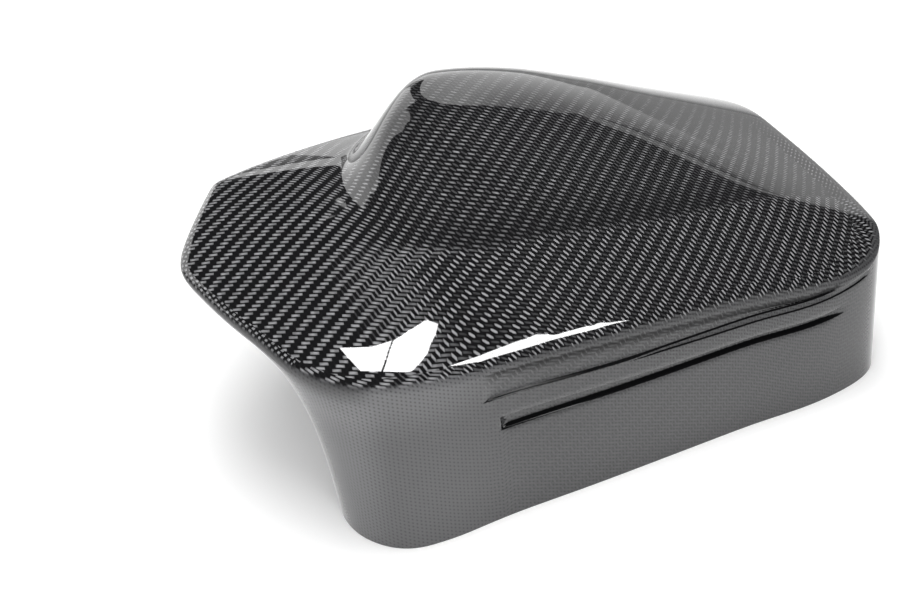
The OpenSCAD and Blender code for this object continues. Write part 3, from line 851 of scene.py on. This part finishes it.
# The mouldings: their grain, its depth and the clouds in their colour in millimetres, and their roughness
GRAIN_SIZE = 0.4
GRAIN_DEPTH = 0.03
CLOUD_SIZE = 12
ABS_ROUGH = (0.42, 0.55)
ABS_DARK = "#1b1b1c"
ABS_LIGHT = "#262627"


def moulded_abs():
    """Black ABS, injection moulded against a fine spark-eroded steel: satin, with a grain that breaks up
    light."""
    material, tree = new_material("moulded_abs")
    at = add(tree, "ShaderNodeTexCoord")["Object"]
    grain = add(tree, "ShaderNodeTexNoise", {"Vector": at, "Scale": 1 / (GRAIN_SIZE * MM), "Detail": 2.0})[0]
    cloud = add(tree, "ShaderNodeTexNoise", {"Vector": at, "Scale": 1 / (CLOUD_SIZE * MM), "Detail": 3.0})[0]
    colour = add(
        tree, "ShaderNodeMix", {0: cloud, 6: srgb(ABS_DARK), 7: srgb(ABS_LIGHT)}, data_type="RGBA"
    )[2]
    rough = spread(tree, grain, *NOISE, *ABS_ROUGH)
    bump = add(tree, "ShaderNodeBump", {"Strength": 0.5, "Distance": GRAIN_DEPTH * MM, "Height": grain})[0]
    shader = add(
        tree,
        "ShaderNodeBsdfPrincipled",
        {"Base Color": colour, "Roughness": rough, "Normal": bump, "IOR": 1.53},
    )[0]
    add(tree, "ShaderNodeOutputMaterial", {0: shader})
    return material


def link(obj):
    bpy.context.scene.collection.objects.link(obj)
    return obj


# The camera: turned and tipped as the photograph's, with the near lip's corner at this pixel
PHOTO = (920, 613)
FOCAL_PIXELS = 2200
SENSOR_MM = 36
CORNER_PIXEL = (400, 386)
CAMERA_TIP = math.radians(38)
CAMERA_TURN = math.radians(27)
PIXELS_PER_MM = 2.6


def place_camera():
    """The camera that sees the cover as the photograph does."""
    t, p = CAMERA_TURN, CAMERA_TIP
    right = Vector((math.cos(t), -math.sin(t), 0))
    up = Vector((math.sin(t) * math.sin(p), math.cos(t) * math.sin(p), math.cos(p)))
    back = right.cross(up)
    corner = Vector((-CENTRE_X, -CENTRE_Y, LIP_Z)) * MM
    aside = (CORNER_PIXEL[0] - PHOTO[0] / 2) / PIXELS_PER_MM * MM
    above = (PHOTO[1] / 2 - CORNER_PIXEL[1]) / PIXELS_PER_MM * MM
    distance = FOCAL_PIXELS / PIXELS_PER_MM * MM
    camera = link(bpy.data.objects.new("camera", bpy.data.cameras.new("camera")))
    camera.data.sensor_width = SENSOR_MM
    camera.data.lens = FOCAL_PIXELS / PHOTO[0] * SENSOR_MM
    place = Matrix.Translation(corner + distance * back - aside * right - above * up)
    camera.matrix_world = place @ Matrix((right, up, back)).transposed().to_4x4()
    bpy.context.scene.camera = camera


# The table, in metres: half its width, and how far it lies below the rim
TABLE_HALF = 6
TABLE_DROP = 0.0002
# What mirrors see of its glow, and what the camera sees of it near the cover and beyond the lamps' reach
TABLE_MIRRORED = 0.45
TABLE_SEEN_AT = (0.35, 1.5)
TABLE_SEEN = (0.18, 1.0)


def studio_floor():
    """White table: seen white, with the soft shadow of the cover on it."""
    bm = bmesh.new()
    bmesh.ops.create_grid(bm, x_segments=1, y_segments=1, size=TABLE_HALF)
    mesh = bpy.data.meshes.new("floor")
    bm.to_mesh(mesh)
    bm.free()
    floor = link(bpy.data.objects.new("floor", mesh))
    floor.location.z = -TABLE_DROP
    material, tree = new_material("white_table")
    cloth = add(tree, "ShaderNodeBsdfDiffuse", {"Color": srgb("#f2f2f2")})[0]
    rays = add(tree, "ShaderNodeLightPath")
    mirrored = maths(tree, "MULTIPLY", rays["Is Glossy Ray"], TABLE_MIRRORED)
    at = add(tree, "ShaderNodeTexCoord")["Object"]
    away = add(tree, "ShaderNodeVectorMath", {0: at}, operation="LENGTH")["Value"]
    seen = spread(tree, away, *TABLE_SEEN_AT, *TABLE_SEEN)
    strength = maths(tree, "MULTIPLY_ADD", rays["Is Camera Ray"], seen, mirrored)
    glow = add(tree, "ShaderNodeEmission", {"Color": srgb("#ffffff"), "Strength": strength})[0]
    both = add(tree, "ShaderNodeAddShader", {0: cloth, 1: glow})[0]
    add(tree, "ShaderNodeOutputMaterial", {0: both})
    mesh.materials.append(material)


# The soft lights: middle and size in metres, and power in watts. Both look at the middle of the cover
LAMP_AIM = (0, 0, 0.05)
KEY = {"middle": (-0.05, 0.15, 1.2), "size": (0.9, 0.9), "power": 18}
FRONT = {"middle": (-0.7, -1.2, 0.9), "size": (1.4, 1.0), "power": 16}


def softbox(name, middle, size, power):
    """A soft light that mirrors don't show. It lights the table and the colour under the coat."""
    light = bpy.data.lights.new(name, "AREA")
    light.shape = "RECTANGLE"
    light.size, light.size_y = size
    light.energy = power
    box = link(bpy.data.objects.new(name, light))
    box.location = middle
    box.rotation_mode = "QUATERNION"
    box.rotation_quaternion = (Vector(middle) - Vector(LAMP_AIM)).to_track_quat("Z", "Y")
    box.visible_glossy = False


def card(name, corners, glow):
    """A white card that only mirrors show, with its corners in metres. Its light falls off past the place
    where the fade starts, which only the back board reaches."""
    bm = bmesh.new()
    verts = [bm.verts.new(corner) for corner in corners]
    bmesh.ops.contextual_create(bm, geom=verts)
    mesh = bpy.data.meshes.new(name)
    bm.to_mesh(mesh)
    bm.free()
    board = link(bpy.data.objects.new(name, mesh))
    board.visible_camera = False
    board.visible_diffuse = False
    board.visible_shadow = False
    material, tree = new_material(name)
    at = add(tree, "ShaderNodeTexCoord")["Object"]
    inboard = add(tree, "ShaderNodeSeparateXYZ", {0: at})[0]
    strength = spread(tree, inboard, *BOARD_FADE, glow, BOARD_FADED * glow)
    light = add(tree, "ShaderNodeEmission", {"Color": srgb("#ffffff"), "Strength": strength})[0]
    add(tree, "ShaderNodeOutputMaterial", {0: light})
    mesh.materials.append(material)


# Small lamps over the near lip, in millimetres at this height: a pane in two halves, and a thin strip
LAMP_Z = 120
PANE_LEFT = [
    (-94.3, -36.1), (-86.6, -38.2), (-77.6, -39.7), (-62.5, -38), (-70.5, -45.5), (-78.2, -52.6),
    (-84.4, -51.5), (-89.3, -50.3), (-91.8, -43.3),
]
PANE_RIGHT = [
    (-61.4, -38), (-54.4, -36.6), (-51.5, -37.4), (-49.8, -39.4), (-47.8, -42), (-48, -45.3),
    (-47.9, -48.3), (-50.9, -50.4), (-57.6, -53.7), (-67.5, -53.5), (-77.1, -52.9), (-69.1, -45.5),
]
STRIP = [
    (-41.9, -59.5), (-37.8, -60.9), (-32.3, -62.7), (-22, -66.9), (-9.3, -72.6), (3.1, -80.2),
    (19.3, -85.9), (30, -96.7), (47.9, -116), (29.2, -104.2), (15.9, -96.3), (0.1, -87.5),
    (-13.4, -83.8), (-23.8, -79.6), (-31.1, -76.8),
]
LAMP_GLOW = 25
# White boards, in metres: behind the cover for the grey of the bulge's top, and beside it for its nose
BACK_BOARD_Y = 1.5
BACK_BOARD = [
    (0.1, 0), (5, 0), (5, 0.2), (1.84, 0.22), (1.78, 0.42), (1.78, 0.55), (1.83, 0.72), (1.85, 0.86),
    (1.87, 1.0), (1.89, 1.29), (1.81, 1.63), (1.7, 1.88), (1.46, 2.21), (1.12, 2.34), (0.8, 2.1),
    (0.62, 1.78), (0.55, 1.3), (0.62, 0.75), (0.52, 0.58), (0.1, 0.45),
]
LEFT_BOARD = [(-1.2, 0), (0.1, 0), (0.1, 0.6), (0.02, 0.9), (0, 2.2), (-1.2, 2.2)]
SIDE_BOARD_X = -1.2
SIDE_BOARD = [(1.5, 0), (5, 0), (5, 2.6), (1.5, 2.2)]
SIDE_SHEET = [(0.6, 1.2), (1.5, 1.2), (1.5, 2.2), (1.2, 2.35), (0.93, 2.25), (0.62, 1.95)]
BOARD_GLOW = 2.6
LEFT_GLOW = 3.0
# The back board is lit less towards its inboard end: between these two places along it, in metres
BOARD_FADE = (1.3, 1.8)
BOARD_FADED = 0.33
# The world that mirrors show: it glows up to a low horizon, given by its height, and is dark above it
HORIZON = (0.25, 0.32)
WORLD_GLOW = (0.85, 0.04)


def lamp_card(name, outline):
    """A small lamp as a glowing card, level and above the lip."""
    card(name, [(x * MM, y * MM, LAMP_Z * MM) for x, y in outline], LAMP_GLOW)


def studio():
    """The table, the soft lights, the cards for the highlights and the world."""
    studio_floor()
    softbox("key", **KEY)
    softbox("front", **FRONT)
    lamp_card("pane_left", PANE_LEFT)
    lamp_card("pane_right", PANE_RIGHT)
    lamp_card("strip", STRIP)
    card("back_board", [(x, BACK_BOARD_Y, z) for x, z in BACK_BOARD], BOARD_GLOW)
    card("left_board", [(x, BACK_BOARD_Y, z) for x, z in LEFT_BOARD], LEFT_GLOW)
    card("side_board", [(SIDE_BOARD_X, y, z) for y, z in SIDE_BOARD], BOARD_GLOW)
    card("side_sheet", [(SIDE_BOARD_X, y, z) for y, z in SIDE_SHEET], BOARD_GLOW)
    world = bpy.data.worlds.new("studio")
    bpy.context.scene.world = world
    world.use_nodes = True
    tree = world.node_tree
    tree.nodes.clear()
    at = add(tree, "ShaderNodeTexCoord")["Generated"]
    height = add(tree, "ShaderNodeSeparateXYZ", {0: at})[2]
    band = spread(tree, height, *HORIZON, *WORLD_GLOW)
    seen = add(tree, "ShaderNodeLightPath")["Is Camera Ray"]
    level = either(tree, seen, band, 1.0)
    back = add(tree, "ShaderNodeBackground", {"Color": srgb("#ffffff"), "Strength": level})[0]
    add(tree, "ShaderNodeOutputWorld", {0: back})


# Weight and roughness of the coat: sprayed clear on the outside, and resin under a vacuum bag on the inside
OUTSIDE_COAT = (1.0, 0.02)
INSIDE_COAT = (0.4, 0.3)

shell = build_shell()
shell.data.materials.append(twill_carbon("clear_coated_carbon_twill", *OUTSIDE_COAT))
shell.data.materials.append(twill_carbon("bagged_carbon_twill", *INSIDE_COAT))
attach(shell, "root")
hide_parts("cover_shell")

abs_black = moulded_abs()
for name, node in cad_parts.items():
    if name != "cover_shell":
        for slot in node.material_slots:
            slot.material = abs_black

studio()
place_camera()
bpy.context.scene.view_settings.view_transform = "Standard"
